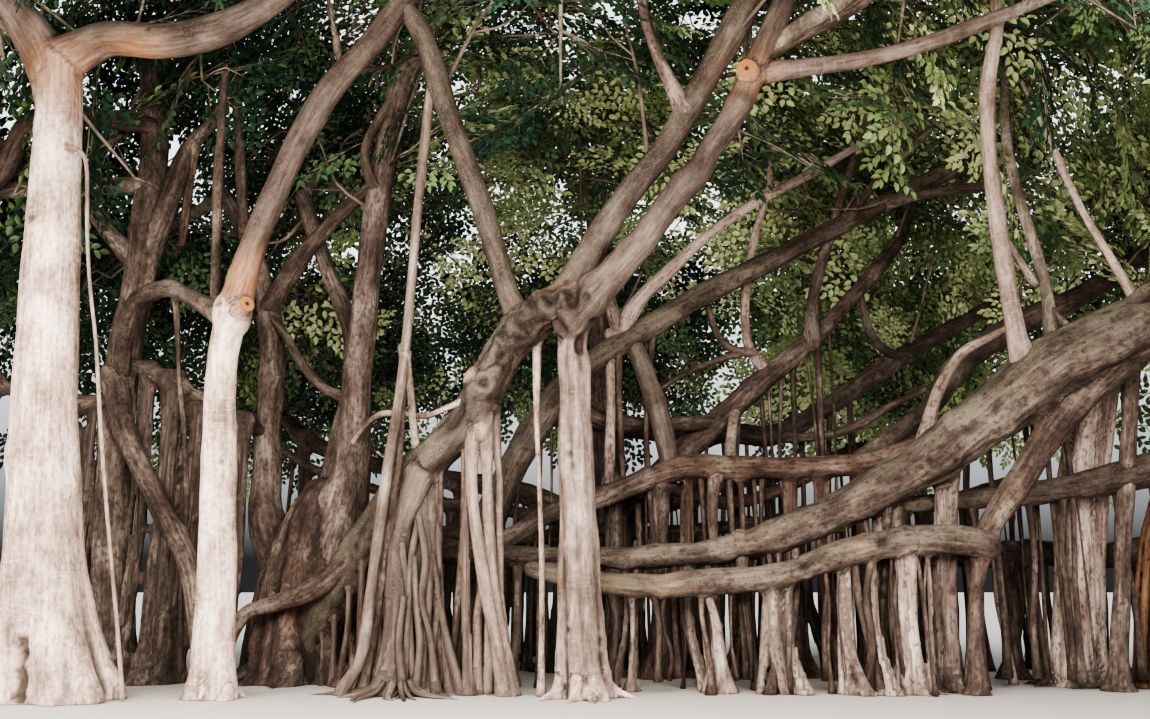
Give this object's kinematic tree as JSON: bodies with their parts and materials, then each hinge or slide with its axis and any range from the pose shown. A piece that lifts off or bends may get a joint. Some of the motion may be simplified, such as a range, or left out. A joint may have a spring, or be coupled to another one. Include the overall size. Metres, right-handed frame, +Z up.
{
  "type": "banyan tree",
  "caption": "Broad, low-domed fig tree: a squat old trunk, daughter trunks, long low boughs on prop roots, and a crown of separate leaf masses.",
  "frame": {"origin": "middle of the flat cut at ground level under the old trunk", "axes": "+Z up; +X along the tree's long side, from the two pale front trunks on the left to the low bough's trunk on the right; -Y is the open front that the picture looks into"},
  "size_m": [30.1168, 21.3452, 15.2454],
  "materials": {
    "pale_bark": "matt smooth bark",
    "grey_bark": "matt fluted bark",
    "mossy_bark": "matt rough bark with moss",
    "red_bark": "matt bark",
    "dark_leaf": "semi-gloss leaf",
    "mid_leaf": "semi-gloss leaf",
    "bright_leaf": "semi-gloss leaf"
  },
  "bodies": {
    "root": {"old_trunk": "grey_bark", "old_left_limb": "grey_bark", "old_upright_limb": "grey_bark", "bending_limb": "grey_bark", "low_left_limb": "mossy_bark", "centre_left_limb": "pale_bark", "centre_pillar": "pale_bark", "centre_right_limb": "pale_bark", "upper_right_limb": "pale_bark", "crossing_limb": "pale_bark", "strand_pillar": "pale_bark", "root_curtain": "grey_bark", "left_trunk": "pale_bark", "left_sweeping_bough": "pale_bark", "left_upright_bough": "pale_bark", "second_trunk": "pale_bark", "second_bough": "pale_bark", "left_back_trunk": "grey_bark", "mossy_side_limb": "mossy_bark", "diagonal_limb": "grey_bark", "right_trunk": "grey_bark", "great_low_bough": "mossy_bark", "right_prop_limb": "mossy_bark", "lower_bough": "mossy_bark", "rear_twin_pillar": "grey_bark", "front_twin_pillar": "pale_bark", "shoulder_pillar": "grey_bark", "forked_foot_pillar": "grey_bark", "bundled_pillar": "pale_bark", "fluted_pillar": "grey_bark", "red_root_bundle": "red_bark", "right_upright": "pale_bark", "far_right_upright": "pale_bark", "low_right_bough": "mossy_bark", "right_back_bough": "mossy_bark", "back_low_bough": "red_bark", "long_back_bough": "mossy_bark", "slanting_prop": "pale_bark", "rising_back_bough": "grey_bark", "rear_trunk": "grey_bark", "rear_left_bough": "grey_bark", "rear_right_bough": "grey_bark", "foliage_front_left": "dark_leaf", "foliage_front_second": "dark_leaf", "foliage_front_middle": "dark_leaf", "foliage_front_right": "mid_leaf", "foliage_front_far_right": "mid_leaf", "foliage_left": "dark_leaf", "foliage_left_top": "dark_leaf", "foliage_middle_top": "mid_leaf", "foliage_right_top": "mid_leaf", "foliage_far_right_top": "bright_leaf", "foliage_right": "bright_leaf", "foliage_back_left": "dark_leaf", "foliage_back_second": "mid_leaf", "foliage_back_middle": "bright_leaf", "foliage_back_right": "bright_leaf", "foliage_rear_left": "mid_leaf", "foliage_rear_middle": "mid_leaf", "foliage_rear_right": "bright_leaf"}
  },
  "joints": []
}
